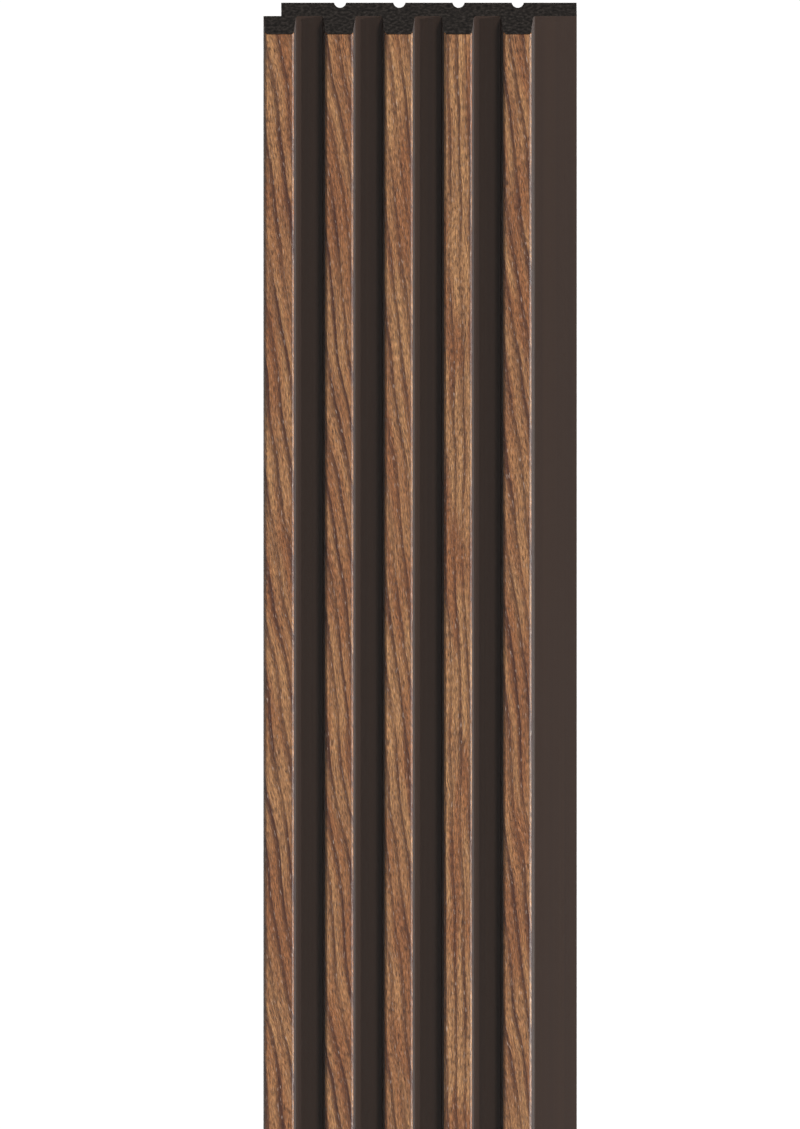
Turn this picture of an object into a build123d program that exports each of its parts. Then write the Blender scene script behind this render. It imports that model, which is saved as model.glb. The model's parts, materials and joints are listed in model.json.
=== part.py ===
from build123d import *
import os
from math import radians, tan

# Fluted wall panel. One extruded foam profile carries five drafted slats, a rebate behind its left edge and
# a tongue along its right edge, so that panels lap side by side and the slats keep their spacing across the
# joint. A strip of wood-effect film is bonded over the front and both chamfers of each slat.
# Millimetres. X runs across the panel, +Y points into the wall and +Z points up. The back face lies on
# Y = 0, the bottom end on Z = 0, and X = 0 is the middle of the width.

# Slats, measured on the foam alone
slat_count = 5
slat_pitch = 22.7
slat_width = 10.4
slat_height = 6.8
slat_chamfer = 0.7
wall_draft = 9.0
foot_radius = 1.0

# The first slat closes the panel's left side, so it is a little wider and has its own draft there
outer_slat_extra = 0.55
outer_side_draft = 6.0

# Board and lap joint: a panel's tongue lies in the next panel's rebate
panel_length = 2700.0
board_thickness = 5.0
rebate_width = 7.0
rebate_undercut = 0.25
joint_clearance = 0.5

# Relief grooves in the back, one behind each slat except the outer one, a little off the slat's middle
groove_radius = 2.35
groove_depth = 1.9
groove_offset = 0.25
groove_lip_radius = 0.3

# Wood-effect film
film_thickness = 0.2

# Laid side by side, panels repeat every slat_count pitches
panel_width = slat_count * slat_pitch + rebate_width - joint_clearance
left_edge = -panel_width / 2
flute_floor = -board_thickness
slat_front = flute_floor - slat_height
chamfer_start = slat_front + slat_chamfer


def wall_run(draft):
    # How far a slat's side spreads between its chamfer and the flute floor.
    return (chamfer_start - flute_floor) * -tan(radians(draft))


first_centre = left_edge + wall_run(outer_side_draft) + outer_slat_extra + slat_width / 2
slat_centres = [first_centre + i * slat_pitch for i in range(slat_count)]


def slat_crest(i):
    # Slat i's front with its two chamfers, from left to right: the line that the film is bonded over.
    left = slat_centres[i] - slat_width / 2
    right = slat_centres[i] + slat_width / 2
    if i == 0:
        left -= outer_slat_extra
    return [
        (left, chamfer_start),
        (left + slat_chamfer, slat_front),
        (right - slat_chamfer, slat_front),
        (right, chamfer_start),
    ]


def slat_outline(i):
    # The crest with the slat's two sides, down to the flute floor.
    crest = slat_crest(i)
    left_draft = outer_side_draft if i == 0 else wall_draft
    left_foot = (crest[0][0] - wall_run(left_draft), flute_floor)
    right_foot = (crest[-1][0] + wall_run(wall_draft), flute_floor)
    return [left_foot, *crest, right_foot]


os.makedirs("parts", exist_ok=True)

with BuildPart() as core:
    with BuildSketch(Plane.XY) as section:
        with Locations((0, -board_thickness / 2)):
            Rectangle(panel_width, board_thickness)
        for i in range(slat_count):
            with BuildLine():
                Polyline(*slat_outline(i), close=True)
            make_face()

        # Every slat foot is rounded but the panel's own two edges
        floor_corners = section.vertices().group_by(Axis.Y)[2]
        fillet(floor_corners.sort_by(Axis.X)[1:-1], foot_radius)

        # The rebate is as deep as the tongue is thick, and its wall leans back over the tongue
        rebate_wall = left_edge + rebate_width
        with BuildLine():
            Polyline(
                (left_edge, flute_floor),
                (rebate_wall, flute_floor),
                (rebate_wall - rebate_undercut, 0),
                (left_edge, 0),
                close=True,
            )
        make_face(mode=Mode.SUBTRACT)

        with Locations(*[(x + groove_offset, groove_radius - groove_depth) for x in slat_centres[1:]]):
            Circle(groove_radius, mode=Mode.SUBTRACT)
        back_corners = section.vertices().group_by(Axis.Y)[-1]
        fillet(back_corners.sort_by(Axis.X)[1:-1], groove_lip_radius)
    extrude(amount=panel_length)
core.part.label = "core"
export_step(core.part, "parts/core.step")

for i in range(slat_count):
    with BuildPart() as slat_film:
        with BuildSketch(Plane.XY):
            with BuildLine():
                Polyline(*slat_crest(i))
                offset(amount=film_thickness, kind=Kind.INTERSECTION, side=Side.RIGHT)
            make_face()
        extrude(amount=panel_length)
    slat_film.part.label = f"slat_film_{i + 1}"
    export_step(slat_film.part, f"parts/slat_film_{i + 1}.step")
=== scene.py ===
import bpy
import bmesh
import json
from math import atan2, cos, pi, radians, sin, tan
from mathutils import Matrix, Vector

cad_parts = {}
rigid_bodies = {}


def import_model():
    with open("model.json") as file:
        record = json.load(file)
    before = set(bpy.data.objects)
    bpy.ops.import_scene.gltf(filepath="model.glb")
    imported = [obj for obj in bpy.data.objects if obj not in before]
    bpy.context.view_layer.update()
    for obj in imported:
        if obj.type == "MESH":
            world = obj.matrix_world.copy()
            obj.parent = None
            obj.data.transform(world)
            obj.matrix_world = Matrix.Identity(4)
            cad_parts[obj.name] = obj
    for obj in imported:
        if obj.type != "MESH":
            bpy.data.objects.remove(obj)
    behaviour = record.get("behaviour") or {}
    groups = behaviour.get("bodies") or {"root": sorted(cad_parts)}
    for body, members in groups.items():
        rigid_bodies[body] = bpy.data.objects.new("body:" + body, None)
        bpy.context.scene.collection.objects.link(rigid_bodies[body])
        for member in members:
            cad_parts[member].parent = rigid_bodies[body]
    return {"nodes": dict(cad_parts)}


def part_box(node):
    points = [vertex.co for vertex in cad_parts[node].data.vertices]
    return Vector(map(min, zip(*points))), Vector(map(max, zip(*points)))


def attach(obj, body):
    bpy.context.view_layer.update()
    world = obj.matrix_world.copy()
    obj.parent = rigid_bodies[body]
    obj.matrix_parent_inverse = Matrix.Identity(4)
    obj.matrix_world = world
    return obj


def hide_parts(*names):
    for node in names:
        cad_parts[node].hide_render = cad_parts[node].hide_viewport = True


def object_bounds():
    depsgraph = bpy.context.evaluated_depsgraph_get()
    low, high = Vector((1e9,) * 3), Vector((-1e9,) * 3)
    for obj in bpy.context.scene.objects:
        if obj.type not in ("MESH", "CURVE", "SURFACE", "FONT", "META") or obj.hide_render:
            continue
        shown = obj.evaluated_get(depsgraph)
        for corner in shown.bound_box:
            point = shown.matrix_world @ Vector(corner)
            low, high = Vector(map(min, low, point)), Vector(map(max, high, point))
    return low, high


# Fluted wall panel: a dark foam profile with a strip of walnut-effect film over each of its five slats.
# Metres, in the CAD frame: X across the panel, +Y into the wall, Z up along the slats.

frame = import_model()
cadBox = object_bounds()
low, high = (Vector(corner) for corner in cadBox)
mm = 0.001
hair = 0.01 * mm  # places closer than this are the same
print("frame loaded", [round(v, 4) for v in (*low, *high)])


def linear(hexColour):
    # sRGB hex to the linear values that the shaders work in
    channels = [int(hexColour[i:i + 2], 16) / 255 for i in (0, 2, 4)]
    return (*[c / 12.92 if c <= 0.04045 else ((c + 0.055) / 1.055) ** 2.4 for c in channels], 1.0)


# Camera. The photo is an oblique projection: the front shows undistorted, with its edges parallel, and the
# end cut stands above it at its full height. So the view axis leans down from straight ahead while the
# picture's own plane stays parallel to the front, as a view camera does with its back kept upright. The 2
# degrees more than 45 make up for the back of the end cut being further away than its front.
cameraSetup = {
    "photoWidth": 800,
    "photoHeight": 1129,
    "pixelsPerMm": 2.616,
    "panelMiddlePixel": 420.15,  # across the photo
    "topFrontEdgePixel": 34.7,  # down the photo
    "leanDegrees": 47.0,
    "lens": 500.0,
    "sensor": 36.0,
}


def addCamera(setup):
    data = bpy.data.cameras.new("camera")
    data.lens = setup["lens"]
    data.sensor_width = setup["sensor"]
    camera = bpy.data.objects.new("camera", data)
    bpy.context.collection.objects.link(camera)
    metresPerPixel = mm / setup["pixelsPerMm"]
    aim = Vector((
        (setup["photoWidth"] / 2 - setup["panelMiddlePixel"]) * metresPerPixel,
        low.y,
        high.z - (setup["photoHeight"] / 2 - setup["topFrontEdgePixel"]) * metresPerPixel,
    ))
    distance = setup["lens"] / setup["sensor"] * setup["photoHeight"] * metresPerPixel
    lean = radians(setup["leanDegrees"])
    back = Vector((0, -cos(lean), sin(lean)))
    place = aim + back * distance
    camera.parent = bpy.data.objects.new("cameraStand", None)
    bpy.context.collection.objects.link(camera.parent)
    camera.matrix_parent_inverse = Matrix((
        (1, 0, back.x, place.x),
        (0, 0, back.y, place.y),
        (0, 1, back.z, place.z),
        (0, 0, 0, 1),
    ))
    bpy.context.scene.camera = camera


addCamera(cameraSetup)
print("camera placed")


# Mesh helpers


def chain(bm, points):
    # joins points in the XY plane with edges
    verts = [bm.verts.new((x, y, 0)) for x, y in points]
    for a, b in zip(verts, verts[1:]):
        bm.edges.new((a, b))
    return verts


def roundCorners(bm, verts, radius, segments):
    # rounds corners of an outline; the offset is the distance from a corner to where its arc starts
    for vert in verts:
        a, b = (edge.other_vert(vert).co - vert.co for edge in vert.link_edges)
        offset = radius / tan(a.angle(b) / 2)
        bmesh.ops.bevel(
            bm, geom=[vert], offset=offset, offset_type="OFFSET", affect="VERTICES",
            segments=segments, profile=0.5, material=-1,
        )


def cutInLengths(bm, top, count):
    # crosswise cuts that let the bake map fold the long strip into rows
    for i in range(1, count):
        geom = bm.verts[:] + bm.edges[:] + bm.faces[:]
        bmesh.ops.bisect_plane(bm, geom=geom, plane_co=(0, 0, top * i / count), plane_no=(0, 0, 1))


def foldMap(bm, lengths, columnTop, isHidden):
    # The bake map of a long piece: its skin is unrolled, cut in lengths and laid in columns, and its two end
    # cuts lie full width above them. Faces that lie against another piece get a tenth of their width.
    layer = bm.loops.layers.uv.new("OFBake")
    margin = 0.002
    skin = [face for face in bm.faces if abs(face.normal.z) < 0.5]
    ends = [face for face in bm.faces if abs(face.normal.z) > 0.5]
    ring = {edge for face in skin for edge in face.edges if max(vert.co.z for vert in edge.verts) < hair}
    vert = min((vert for edge in ring for vert in edge.verts), key=lambda v: (round(v.co.y, 5), v.co.x))
    corners, reach = [], [0.0]
    while ring:
        edge = next(edge for edge in vert.link_edges if edge in ring)
        ring.remove(edge)
        side = next(face for face in edge.link_faces if face in skin)
        corners.append(vert.co.xy)
        reach.append(reach[-1] + edge.calc_length() * (0.1 if isHidden(side) else 1.0))
        vert = edge.other_vert(vert)

    length = high.z / lengths
    for face in skin:
        column = int(face.calc_center_median().z / length)
        near = []
        for loop in face.loops:
            near.append(min(range(len(corners)), key=lambda i: (corners[i] - loop.vert.co.xy).length))
        closing = max(near) - min(near) > 1
        for loop, i in zip(face.loops, near):
            run = reach[-1] if closing and i == 0 else reach[i]
            across = margin + run / reach[-1] * (1 / lengths - 2 * margin)
            up = margin + (loop.vert.co.z / length - column) * (columnTop - 2 * margin)
            loop[layer].uv = (column / lengths + across, up)

    xs = [vert.co.x for vert in bm.verts]
    ys = [vert.co.y for vert in bm.verts]
    row = (1 - columnTop) / 2
    for face in ends:
        bottom = columnTop if face.normal.z > 0 else columnTop + row
        for loop in face.loops:
            across = (loop.vert.co.x - min(xs)) / (max(xs) - min(xs))
            up = (loop.vert.co.y - min(ys)) / (max(ys) - min(ys))
            loop[layer].uv = (margin + across * (1 - 2 * margin), bottom + margin + up * (row - 2 * margin))


def finishPiece(bm, name, materials, replaced):
    mesh = bpy.data.meshes.new(name)
    bm.to_mesh(mesh)
    bm.free()
    for material in materials:
        mesh.materials.append(material)
    piece = bpy.data.objects.new(name, mesh)
    bpy.context.collection.objects.link(piece)
    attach(piece, "root")
    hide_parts(replaced)
    return piece


# Material helpers


def addNode(tree, kind, inputs=None, settings=None, output=0):
    # adds a node, sets its properties, gives each input a value or a link, and returns one of its outputs
    node = tree.nodes.new(kind)
    for key, value in (settings or {}).items():
        setattr(node, key, value)
    for key, value in (inputs or {}).items():
        if isinstance(value, bpy.types.NodeSocket):
            tree.links.new(value, node.inputs[key])
        else:
            node.inputs[key].default_value = value
    return node.outputs[output] if node.outputs else None


def grainNoise(tree, place, size, detail, start=0.0):
    # noise drawn out to a real size along X, Y and Z, in the unit that place is given in
    scale = [1 / length for length in size]
    mapping = {"Vector": place, "Location": (0, start, 0), "Scale": scale}
    stretched = addNode(tree, "ShaderNodeMapping", mapping)
    noise = {"Vector": stretched, "Scale": 1.0, "Detail": detail, "Roughness": 0.55}
    return addNode(tree, "ShaderNodeTexNoise", noise)


def newMaterial(name):
    material = bpy.data.materials.new(name)
    material.use_nodes = True
    material.node_tree.nodes.clear()
    return material, material.node_tree


# Walnut-effect decor film: a printed and embossed polypropylene film with a satin lacquer. It gives the eye
# an orange-brown ground, dark growth lines that drift across the slat, and a fine broken glint on the
# embossing. On the chamfers the glint is real light from the lamp. Along the growth lines it is a painted
# highlight: pale flecks mixed into the film's colour.
filmFinish = {
    "ground": "95623f",
    "lightGround": "b08157",
    "streakColour": "694331",
    "lineColour": "482921",
    "poreColour": "38211b",
    # painted highlight: the pale colour of the flecks that stand in for glints of light on the pores
    "paintedGlintColour": "dcc2b0",
    "tone": (6.0, 1.0, 45.0),  # mm, as are the sizes below
    "streak": (1.5, 1.0, 34.0),
    "fibre": (0.42, 1.0, 2.4),
    "pore": (0.45, 1.0, 3.4),
    "drift": (40.0, 1.0, 75.0),
    "curve": (12.0, 1.0, 38.0),
    "curveReach": 1.5,
    "wobble": (4.0, 1.0, 14.0),
    "wobbleReach": 0.4,
    "lateWood": (0.32, 0.84),  # where in a ring it darkens
    "ringEnd": (0.87, 1.0),  # where it turns light again
    "roughness": (0.32, 0.14),  # between the fibres, and on them
    "relief": 0.06,  # mm
}
# How the growth lines run on each slat: slant in degrees, then in mm their spacing, how far they drift and
# where the print starts; light is the share of lighter ground, and lines the strength of the darkest line.
slatGrain = [
    {"slant": 9.0, "spacing": 4.8, "drift": 4.5, "start": 0.0, "light": 0.45, "lines": 0.94},
    {"slant": 8.5, "spacing": 4.5, "drift": 4.5, "start": 61.0, "light": 0.40, "lines": 0.94},
    {"slant": 6.5, "spacing": 4.0, "drift": 3.5, "start": 127.0, "light": 0.50, "lines": 0.82},
    {"slant": 1.0, "spacing": 3.5, "drift": 2.0, "start": 190.0, "light": 0.80, "lines": 0.80},
    {"slant": 7.5, "spacing": 4.6, "drift": 4.5, "start": 256.0, "light": 0.52, "lines": 0.94},
]


def walnutFilm(number, finish, grain, bendAt):
    material, tree = newMaterial(f"embossed walnut-effect polypropylene film {number}")
    place = addNode(tree, "ShaderNodeTexCoord", output="Object")
    inMm = addNode(tree, "ShaderNodeVectorMath", {0: place, "Scale": 1 / mm}, {"operation": "SCALE"})
    start = (grain["start"], 0, 0)
    printed = addNode(tree, "ShaderNodeVectorMath", {0: inMm, 1: start}, {"operation": "ADD"})
    across = addNode(tree, "ShaderNodeSeparateXYZ", {0: printed}, output="X")
    along = addNode(tree, "ShaderNodeSeparateXYZ", {0: printed}, output="Z")

    # growth lines slant across the slat, drift, curve and wobble
    slope = tan(radians(grain["slant"]))
    drifted = addNode(tree, "ShaderNodeMath", {0: along, 1: slope, 2: across}, {"operation": "MULTIPLY_ADD"})
    flat = addNode(tree, "ShaderNodeCombineXYZ", {0: across, 2: along})
    for size, reach in (
        (finish["drift"], grain["drift"]),
        (finish["curve"], finish["curveReach"]),
        (finish["wobble"], finish["wobbleReach"]),
    ):
        wander = grainNoise(tree, flat, size, 1.0, grain["start"])
        moved = {0: wander, 1: 2 * reach, 2: drifted}
        drifted = addNode(tree, "ShaderNodeMath", moved, {"operation": "MULTIPLY_ADD"})
    ring = addNode(tree, "ShaderNodeMath", {0: drifted, 1: grain["spacing"]}, {"operation": "DIVIDE"})
    inRing = addNode(tree, "ShaderNodeMath", {0: ring}, {"operation": "FRACT"})
    ringNumber = addNode(tree, "ShaderNodeMath", {0: ring}, {"operation": "FLOOR"})
    smooth = {"interpolation_type": "SMOOTHSTEP"}
    startAt, fullAt = finish["lateWood"]
    lateWood = addNode(tree, "ShaderNodeMapRange", {0: inRing, 1: startAt, 2: fullAt}, smooth)
    darkening = addNode(tree, "ShaderNodeMath", {0: lateWood, 1: 1.5}, {"operation": "POWER"})
    fadeAt, goneAt = finish["ringEnd"]
    ringEnd = addNode(tree, "ShaderNodeMapRange", {0: inRing, 1: fadeAt, 2: goneAt, 3: 1.0, 4: 0.0}, smooth)
    line = addNode(tree, "ShaderNodeMath", {0: darkening, 1: ringEnd}, {"operation": "MULTIPLY"})
    ringPlace = addNode(tree, "ShaderNodeCombineXYZ", {0: ringNumber, 2: along})
    strength = grainNoise(tree, ringPlace, (0.27, 1, 55), 1.0)
    strengths = {0: strength, 1: 0.3, 2: 0.56, 3: 0.4 * grain["lines"], 4: grain["lines"]}
    strengthMask = addNode(tree, "ShaderNodeMapRange", strengths)
    lineMask = addNode(tree, "ShaderNodeMath", {0: line, 1: strengthMask}, {"operation": "MULTIPLY"})

    # tone, streaks, fibres and pores follow the growth lines
    grainPlace = addNode(tree, "ShaderNodeCombineXYZ", {0: drifted, 2: along})
    tone = grainNoise(tree, grainPlace, finish["tone"], 1.0, 57.0)
    streak = grainNoise(tree, grainPlace, finish["streak"], 3.0, 11.0)
    fibre = grainNoise(tree, grainPlace, finish["fibre"], 2.0, 23.0)
    pore = grainNoise(tree, grainPlace, finish["pore"], 1.0, 41.0)
    lightAreas = {0: tone, 1: 0.38, 2: 0.62, 3: 0.0, 4: 2 * grain["light"]}
    lightMask = addNode(tree, "ShaderNodeMapRange", lightAreas)
    streakMask = addNode(tree, "ShaderNodeMapRange", {0: streak, 1: 0.45, 2: 0.62, 3: 0.0, 4: 0.5})
    fibreShade = addNode(tree, "ShaderNodeMapRange", {0: fibre, 1: 0.3, 2: 0.7, 3: 0.36, 4: 1.66})
    poreMask = addNode(tree, "ShaderNodeMapRange", {0: pore, 1: 0.58, 2: 0.7, 3: 0.0, 4: 0.7})
    # painted highlight: pale flecks at the pores, more of them on the growth lines, stand in for glints of
    # light on the embossing
    paintedGlintShares = {0: lineMask, 1: 0.35, 2: 0.28}
    paintedGlintShare = addNode(tree, "ShaderNodeMath", paintedGlintShares, {"operation": "MULTIPLY_ADD"})
    paintedGlintMask = addNode(tree, "ShaderNodeMapRange", {0: pore, 1: 0.38, 2: 0.26, 3: 0.0, 4: paintedGlintShare})

    # painted shade: a dark line is mixed into the colour along the bend between the front and the right
    # chamfer, beside the chamfer's glint
    plainX = addNode(tree, "ShaderNodeSeparateXYZ", {0: inMm}, output="X")
    bendSide = addNode(tree, "ShaderNodeMath", {0: plainX, 1: bendAt / mm}, {"operation": "SUBTRACT"})
    fromBend = addNode(tree, "ShaderNodeMath", {0: bendSide}, {"operation": "ABSOLUTE"})
    paintedBendShadeMask = addNode(tree, "ShaderNodeMapRange", {0: fromBend, 1: 0.1, 2: 0.4, 3: 0.45, 4: 0.0})

    colour = linear(finish["ground"])
    for blend, mask, added in (
        ("MIX", lightMask, linear(finish["lightGround"])),
        ("MIX", streakMask, linear(finish["streakColour"])),
        ("MULTIPLY", 1.0, fibreShade),
        ("MIX", lineMask, linear(finish["lineColour"])),
        ("MIX", poreMask, linear(finish["poreColour"])),
        # painted highlight: the pale glint flecks
        ("MIX", paintedGlintMask, linear(finish["paintedGlintColour"])),
        # painted shade along the bend beside the right chamfer
        ("MIX", paintedBendShadeMask, linear(finish["lineColour"])),
    ):
        settings = {"data_type": "RGBA", "blend_type": blend}
        colour = addNode(tree, "ShaderNodeMix", {0: mask, 6: colour, 7: added}, settings, 2)

    height = addNode(tree, "ShaderNodeMath", {0: fibre, 1: pore}, {"operation": "SUBTRACT"})
    relief = finish["relief"] * mm
    emboss = addNode(tree, "ShaderNodeBump", {"Height": height, "Strength": 0.6, "Distance": relief})
    between, onFibre = finish["roughness"]
    roughness = addNode(tree, "ShaderNodeMapRange", {0: fibre, 1: 0.3, 2: 0.7, 3: between, 4: onFibre})
    shader = addNode(tree, "ShaderNodeBsdfPrincipled", {
        "Base Color": colour, "Roughness": roughness, "IOR": 1.5, "Normal": emboss,
    })
    addNode(tree, "ShaderNodeOutputMaterial", {"Surface": shader})
    return material


# Satin dark-brown coat over the foam's skin: a sprayed acrylic lacquer, even and slightly silky, with the
# faint lengthwise draw lines that the extrusion die leaves.
coatFinish = {
    "colour": "312017",
    "lightColour": "362419",
    "roughness": 0.5,
    "sheen": 0.38,  # lifts the steep flute walls, as a matt lacquer does
    "sheenTint": "e4dedc",
    "sheenRoughness": 0.42,
    "drawLine": (0.8, 0.8, 400.0),  # mm
    "grit": (0.5, 0.5, 0.5),  # mm, three times too coarse so that it shows
    "relief": 0.02,  # mm
}


def satinCoat(finish):
    material, tree = newMaterial("satin acrylic coat")
    place = addNode(tree, "ShaderNodeTexCoord", output="Object")
    drawLines = grainNoise(tree, place, [size * mm for size in finish["drawLine"]], 2.0)
    grit = grainNoise(tree, place, [size * mm for size in finish["grit"]], 2.0)
    mask = addNode(tree, "ShaderNodeMapRange", {0: drawLines, 1: 0.35, 2: 0.65})
    colours = {0: mask, 6: linear(finish["colour"]), 7: linear(finish["lightColour"])}
    colour = addNode(tree, "ShaderNodeMix", colours, {"data_type": "RGBA"}, 2)
    height = addNode(tree, "ShaderNodeMath", {0: grit, 1: 0.5, 2: drawLines}, {"operation": "MULTIPLY_ADD"})
    relief = finish["relief"] * mm
    bump = addNode(tree, "ShaderNodeBump", {"Height": height, "Strength": 0.6, "Distance": relief})
    shader = addNode(tree, "ShaderNodeBsdfPrincipled", {
        "Base Color": colour, "Roughness": finish["roughness"], "IOR": 1.49, "Normal": bump,
        "Sheen Weight": finish["sheen"], "Sheen Roughness": finish["sheenRoughness"],
        "Sheen Tint": linear(finish["sheenTint"]),
    })
    addNode(tree, "ShaderNodeOutputMaterial", {"Surface": shader})
    return material


# Foamed polystyrene, charcoal and matt. Sawn at the ends, it shows its fine closed cells as a speckle.
sawnFinish = {
    "colour": "3b3531",
    "darkColour": "1c1917",
    "lightColour": "5f5751",
    "cell": (1.44, 0.8, 1.44),  # mm, drawn about four times too coarse so that it shows
    "relief": 0.15,  # mm
    "roughness": 0.75,
}
# The bare skin at the back and in the rebate is closed, and the extrusion die has drawn it out in fine lines.
skinFinish = {
    "colour": "37322e",
    "darkColour": "2a2623",
    "lightColour": "443e39",
    "cell": (0.8, 0.8, 40.0),  # mm
    "relief": 0.04,  # mm
    "roughness": 0.62,
}


def charcoalFoam(name, finish):
    material, tree = newMaterial(name)
    place = addNode(tree, "ShaderNodeTexCoord", output="Object")
    cells = grainNoise(tree, place, [size * mm for size in finish["cell"]], 3.0)
    colour = addNode(tree, "ShaderNodeValToRGB", {0: cells})
    ramp = colour.node.color_ramp
    ramp.elements[0].position = 0.3
    ramp.elements[0].color = linear(finish["darkColour"])
    ramp.elements[1].position = 0.72
    ramp.elements[1].color = linear(finish["lightColour"])
    ramp.elements.new(0.5).color = linear(finish["colour"])
    relief = finish["relief"] * mm
    bump = addNode(tree, "ShaderNodeBump", {"Height": cells, "Strength": 0.8, "Distance": relief})
    shader = addNode(tree, "ShaderNodeBsdfPrincipled", {
        "Base Color": colour, "Roughness": finish["roughness"], "IOR": 1.55, "Normal": bump,
    })
    addNode(tree, "ShaderNodeOutputMaterial", {"Surface": shader})
    return material


# Foam core, in one piece from tongue to rebate
coreSizes = {
    "boardThickness": 5.0 * mm,
    "slatChamfer": 0.7 * mm,
    "wallDraft": 9.0,  # degrees
    "outerSideDraft": 6.0,  # degrees
    "footRadius": 1.0 * mm,
    "footSegments": 8,
    "rebateWidth": 7.0 * mm,
    "rebateUndercut": 0.25 * mm,
    "grooveRadius": 2.35 * mm,
    "grooveDepth": 1.9 * mm,
    "grooveOffset": 0.25 * mm,
    "grooveSegments": 14,
    "filmThickness": 0.2 * mm,
    "mapLengths": 3,  # the bake map's columns
    "mapColumnTop": 0.8,
}
slatNodes = sorted(name for name in frame["nodes"] if name.startswith("slat_film"))


def slatCrest(sizes, node):
    # the foam's crest under one film strip, from left to right, worked out from the strip's own box
    filmLow, filmHigh = (Vector(corner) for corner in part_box(node))
    wrap = sizes["filmThickness"] * sin(pi / 4)  # how far the film stands out sideways on a chamfer
    left, right = filmLow.x + wrap, filmHigh.x - wrap
    front = filmLow.y + sizes["filmThickness"]
    chamfer = sizes["slatChamfer"]
    return [
        (left, front + chamfer),
        (left + chamfer, front),
        (right - chamfer, front),
        (right, front + chamfer),
    ]


def addCore(sizes):
    bm = bmesh.new()
    floor = -sizes["boardThickness"]
    feet = []
    front = [(high.x, high.y), (high.x, floor)]
    for node in reversed(slatNodes):
        crest = slatCrest(sizes, node)
        drop = floor - crest[0][1]
        leftDraft = sizes["outerSideDraft"] if node == slatNodes[0] else sizes["wallDraft"]
        leftFoot = (crest[0][0] - drop * tan(radians(leftDraft)), floor)
        rightFoot = (crest[3][0] + drop * tan(radians(sizes["wallDraft"])), floor)
        front += [rightFoot, *reversed(crest), leftFoot]
        feet += [rightFoot] if node == slatNodes[0] else [rightFoot, leftFoot]
    rebateWall = low.x + sizes["rebateWidth"]
    front += [(rebateWall, floor), (rebateWall - sizes["rebateUndercut"], high.y)]

    # along the back, each groove is an arc spun about its centre
    deep = sizes["grooveRadius"] - sizes["grooveDepth"]
    halfMouth = (sizes["grooveRadius"] ** 2 - deep ** 2) ** 0.5
    grooveArc = 2 * atan2(halfMouth, deep)
    for node in slatNodes[1:]:
        crest = slatCrest(sizes, node)
        middle = (crest[0][0] + crest[3][0]) / 2 + sizes["grooveOffset"]
        front.append((middle - halfMouth, high.y))
        chain(bm, front)
        start = bm.verts.new((middle - halfMouth, high.y, 0))
        bmesh.ops.spin(
            bm, geom=[start], cent=(middle, high.y + deep, 0), axis=(0, 0, 1), angle=grooveArc,
            steps=sizes["grooveSegments"], use_merge=False,
        )
        front = [(middle + halfMouth, high.y)]
    chain(bm, front + [(high.x, high.y)])
    bmesh.ops.remove_doubles(bm, verts=bm.verts[:], dist=hair)
    corners = [v for v in bm.verts if any((v.co.xy - Vector(foot)).length < hair for foot in feet)]
    roundCorners(bm, corners, sizes["footRadius"], sizes["footSegments"])
    bmesh.ops.contextual_create(bm, geom=bm.edges[:])
    pulled = bmesh.ops.extrude_face_region(bm, geom=bm.faces[:], use_keep_orig=True)
    top = [v for v in pulled["geom"] if isinstance(v, bmesh.types.BMVert)]
    bmesh.ops.translate(bm, verts=top, vec=(0, 0, high.z))
    cutInLengths(bm, high.z, sizes["mapLengths"])
    bmesh.ops.recalc_face_normals(bm, faces=bm.faces[:])
    for face in bm.faces:
        isEnd = abs(face.normal.z) > 0.5
        isFront = face.calc_center_median().y < floor + hair and face.normal.y < 0.2
        face.material_index = 1 if isEnd else 0 if isFront else 2
    crestFoot = low.y + sizes["filmThickness"] + sizes["slatChamfer"] - hair
    columnTop = sizes["mapColumnTop"]
    foldMap(bm, sizes["mapLengths"], columnTop, lambda face: face.calc_center_median().y < crestFoot)
    materials = [
        satinCoat(coatFinish),
        charcoalFoam("sawn charcoal polystyrene foam", sawnFinish),
        charcoalFoam("charcoal polystyrene foam skin", skinFinish),
    ]
    return finishPiece(bm, "foamProfile", materials, "core")


addCore(coreSizes)
print("foam core made")


# Film strips, one over each slat's front and both its chamfers
filmSizes = {
    "thickness": coreSizes["filmThickness"],
    "bendRadius": 0.35 * mm,
    "bendSegments": 3,
    "mapLengths": 15,
    "mapColumnTop": 0.96,
}


def addFilm(sizes, node, number):
    # the strip's outer skin is pulled up from its section, then thickened back onto the foam
    bm = bmesh.new()
    filmLow, filmHigh = (Vector(corner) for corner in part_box(node))
    side = filmHigh.y - sizes["thickness"] * sin(pi / 4)
    inset = side - filmLow.y
    section = chain(bm, [
        (filmLow.x, side),
        (filmLow.x + inset, filmLow.y),
        (filmHigh.x - inset, filmLow.y),
        (filmHigh.x, side),
    ])
    roundCorners(bm, section[1:3], sizes["bendRadius"], sizes["bendSegments"])
    pulled = bmesh.ops.extrude_edge_only(bm, edges=bm.edges[:])
    top = [v for v in pulled["geom"] if isinstance(v, bmesh.types.BMVert)]
    bmesh.ops.translate(bm, verts=top, vec=(0, 0, high.z))
    cutInLengths(bm, high.z, sizes["mapLengths"])
    bmesh.ops.recalc_face_normals(bm, faces=bm.faces[:])
    if sum(face.normal.y * face.calc_area() for face in bm.faces) > 0:
        bmesh.ops.reverse_faces(bm, faces=bm.faces[:])
    bmesh.ops.solidify(bm, geom=bm.faces[:], thickness=sizes["thickness"])
    bmesh.ops.recalc_face_normals(bm, faces=bm.faces[:])
    foldMap(bm, sizes["mapLengths"], sizes["mapColumnTop"], lambda face: face.normal.y > 0.2)
    material = walnutFilm(number, filmFinish, slatGrain[number - 1], filmHigh.x - inset)
    return finishPiece(bm, f"filmStrip{number}", [material], node)


for number, node in enumerate(slatNodes, 1):
    addFilm(filmSizes, node, number)
print("film strips made")


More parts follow.
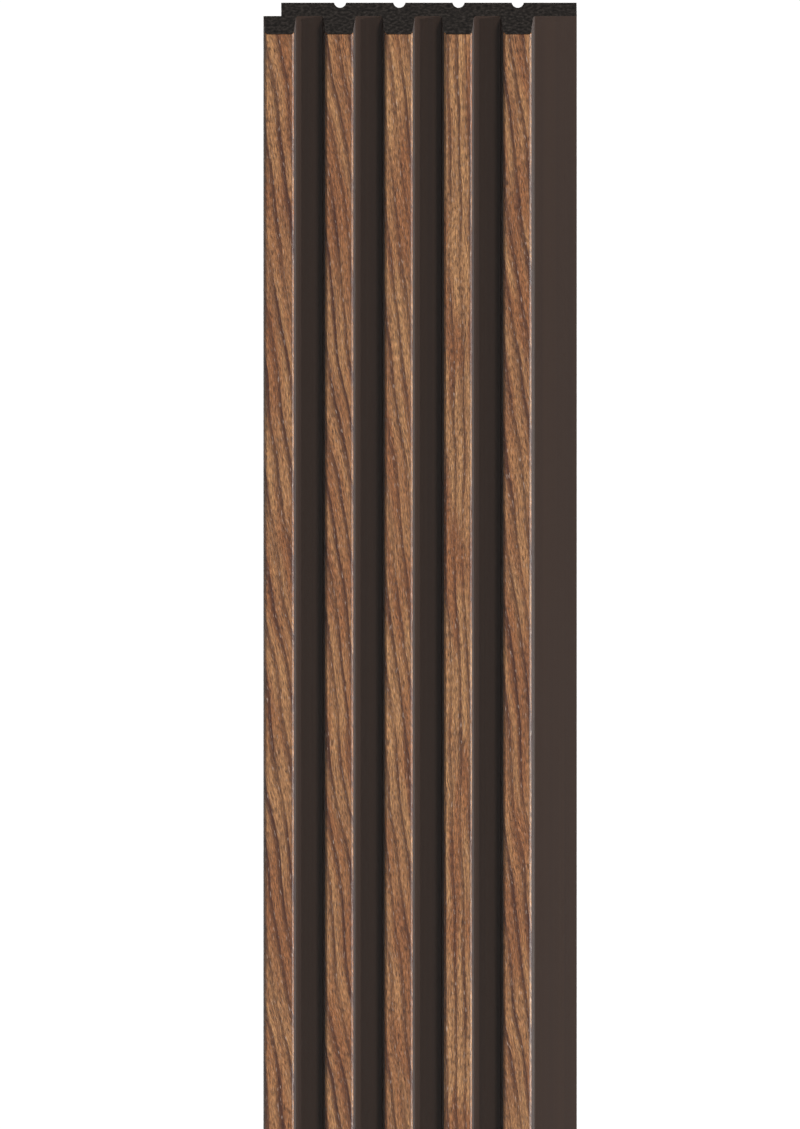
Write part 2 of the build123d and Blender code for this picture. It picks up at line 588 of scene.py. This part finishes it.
# Pale floor, and soft light from the front, the right and, for the back, from behind
stageSetup = {
    "floorSize": 120.0,
    "floorColour": "e6e4e1",
    "floorGlow": 0.73,
    "worldLight": 0.022,
    "glossyShare": 0.022,  # glossy rays see the white background this bright, or the satin coat would go grey
    "frontSun": {"energy": 1.78, "angle": 11.0, "from": (0.4, -0.82, 0.64)},
    "sideSun": {"energy": 2.02, "angle": 1.2, "from": (0.79, -0.548, 0.09)},
    "sideLamp": {"energy": 6.5, "size": (0.3, 1.5), "place": (1.3, -0.15, 1.15), "aim": (0.0, 0.0, 2.4)},
    "backLamp": {"energy": 16.0, "size": (0.8, 2.8), "place": (0.4, 1.6, 1.3), "aim": (0.0, 0.0, 1.3)},
}


def seenWhite(tree, glossyShare):
    # 1 for camera and transmission rays, less for glossy ones, 0 for the rays that light the object
    ray = addNode(tree, "ShaderNodeLightPath").node.outputs
    dimmed = {0: ray["Is Glossy Ray"], 1: glossyShare}
    glossy = addNode(tree, "ShaderNodeMath", dimmed, {"operation": "MULTIPLY"})
    full = {0: ray["Is Camera Ray"], 1: ray["Is Transmission Ray"]}
    clear = addNode(tree, "ShaderNodeMath", full, {"operation": "MAXIMUM"})
    return addNode(tree, "ShaderNodeMath", {0: clear, 1: glossy}, {"operation": "MAXIMUM"})


def addStage(setup):
    material, tree = newMaterial("pale painted studio floor")
    seen = seenWhite(tree, setup["glossyShare"])
    glow = addNode(tree, "ShaderNodeMath", {0: seen, 1: setup["floorGlow"]}, {"operation": "MULTIPLY"})
    shader = addNode(tree, "ShaderNodeBsdfPrincipled", {
        "Base Color": linear(setup["floorColour"]), "Roughness": 0.9,
        "Emission Color": (1, 1, 1, 1), "Emission Strength": glow,
    })
    addNode(tree, "ShaderNodeOutputMaterial", {"Surface": shader})
    bm = bmesh.new()
    bmesh.ops.create_grid(bm, x_segments=1, y_segments=1, size=setup["floorSize"] / 2)
    mesh = bpy.data.meshes.new("floor")
    bm.to_mesh(mesh)
    bm.free()
    mesh.materials.append(material)
    floor = bpy.data.objects.new("floor", mesh)
    bpy.context.collection.objects.link(floor)

    world = bpy.data.worlds.new("studio")
    bpy.context.scene.world = world
    world.use_nodes = True
    tree = world.node_tree
    tree.nodes.clear()
    seen = seenWhite(tree, setup["glossyShare"])
    strength = addNode(tree, "ShaderNodeMath", {0: seen, 1: setup["worldLight"]}, {"operation": "MAXIMUM"})
    background = addNode(tree, "ShaderNodeBackground", {"Color": (1, 1, 1, 1), "Strength": strength})
    addNode(tree, "ShaderNodeOutputWorld", {"Surface": background})


def addLight(name, kind, settings, place, aim):
    data = bpy.data.lights.new(name, kind)
    for key, value in settings.items():
        setattr(data, key, value)
    lamp = bpy.data.objects.new(name, data)
    bpy.context.collection.objects.link(lamp)
    lamp.location = place
    lamp.rotation_euler = (Vector(aim) - Vector(place)).to_track_quat("-Z", "Y").to_euler()
    lamp.visible_camera = False


addStage(stageSetup)
for name in ("frontSun", "sideSun"):
    sun = stageSetup[name]
    addLight(name, "SUN", {"energy": sun["energy"], "angle": radians(sun["angle"])}, sun["from"], (0, 0, 0))
for name in ("sideLamp", "backLamp"):
    lamp = stageSetup[name]
    wide, tall = lamp["size"]
    settings = {"energy": lamp["energy"], "shape": "RECTANGLE", "size": wide, "size_y": tall}
    addLight(name, "AREA", settings, lamp["place"], lamp["aim"])
print("floor and lights placed")

view = bpy.context.scene.view_settings
view.view_transform = "Standard"
bpy.context.view_layer.update()
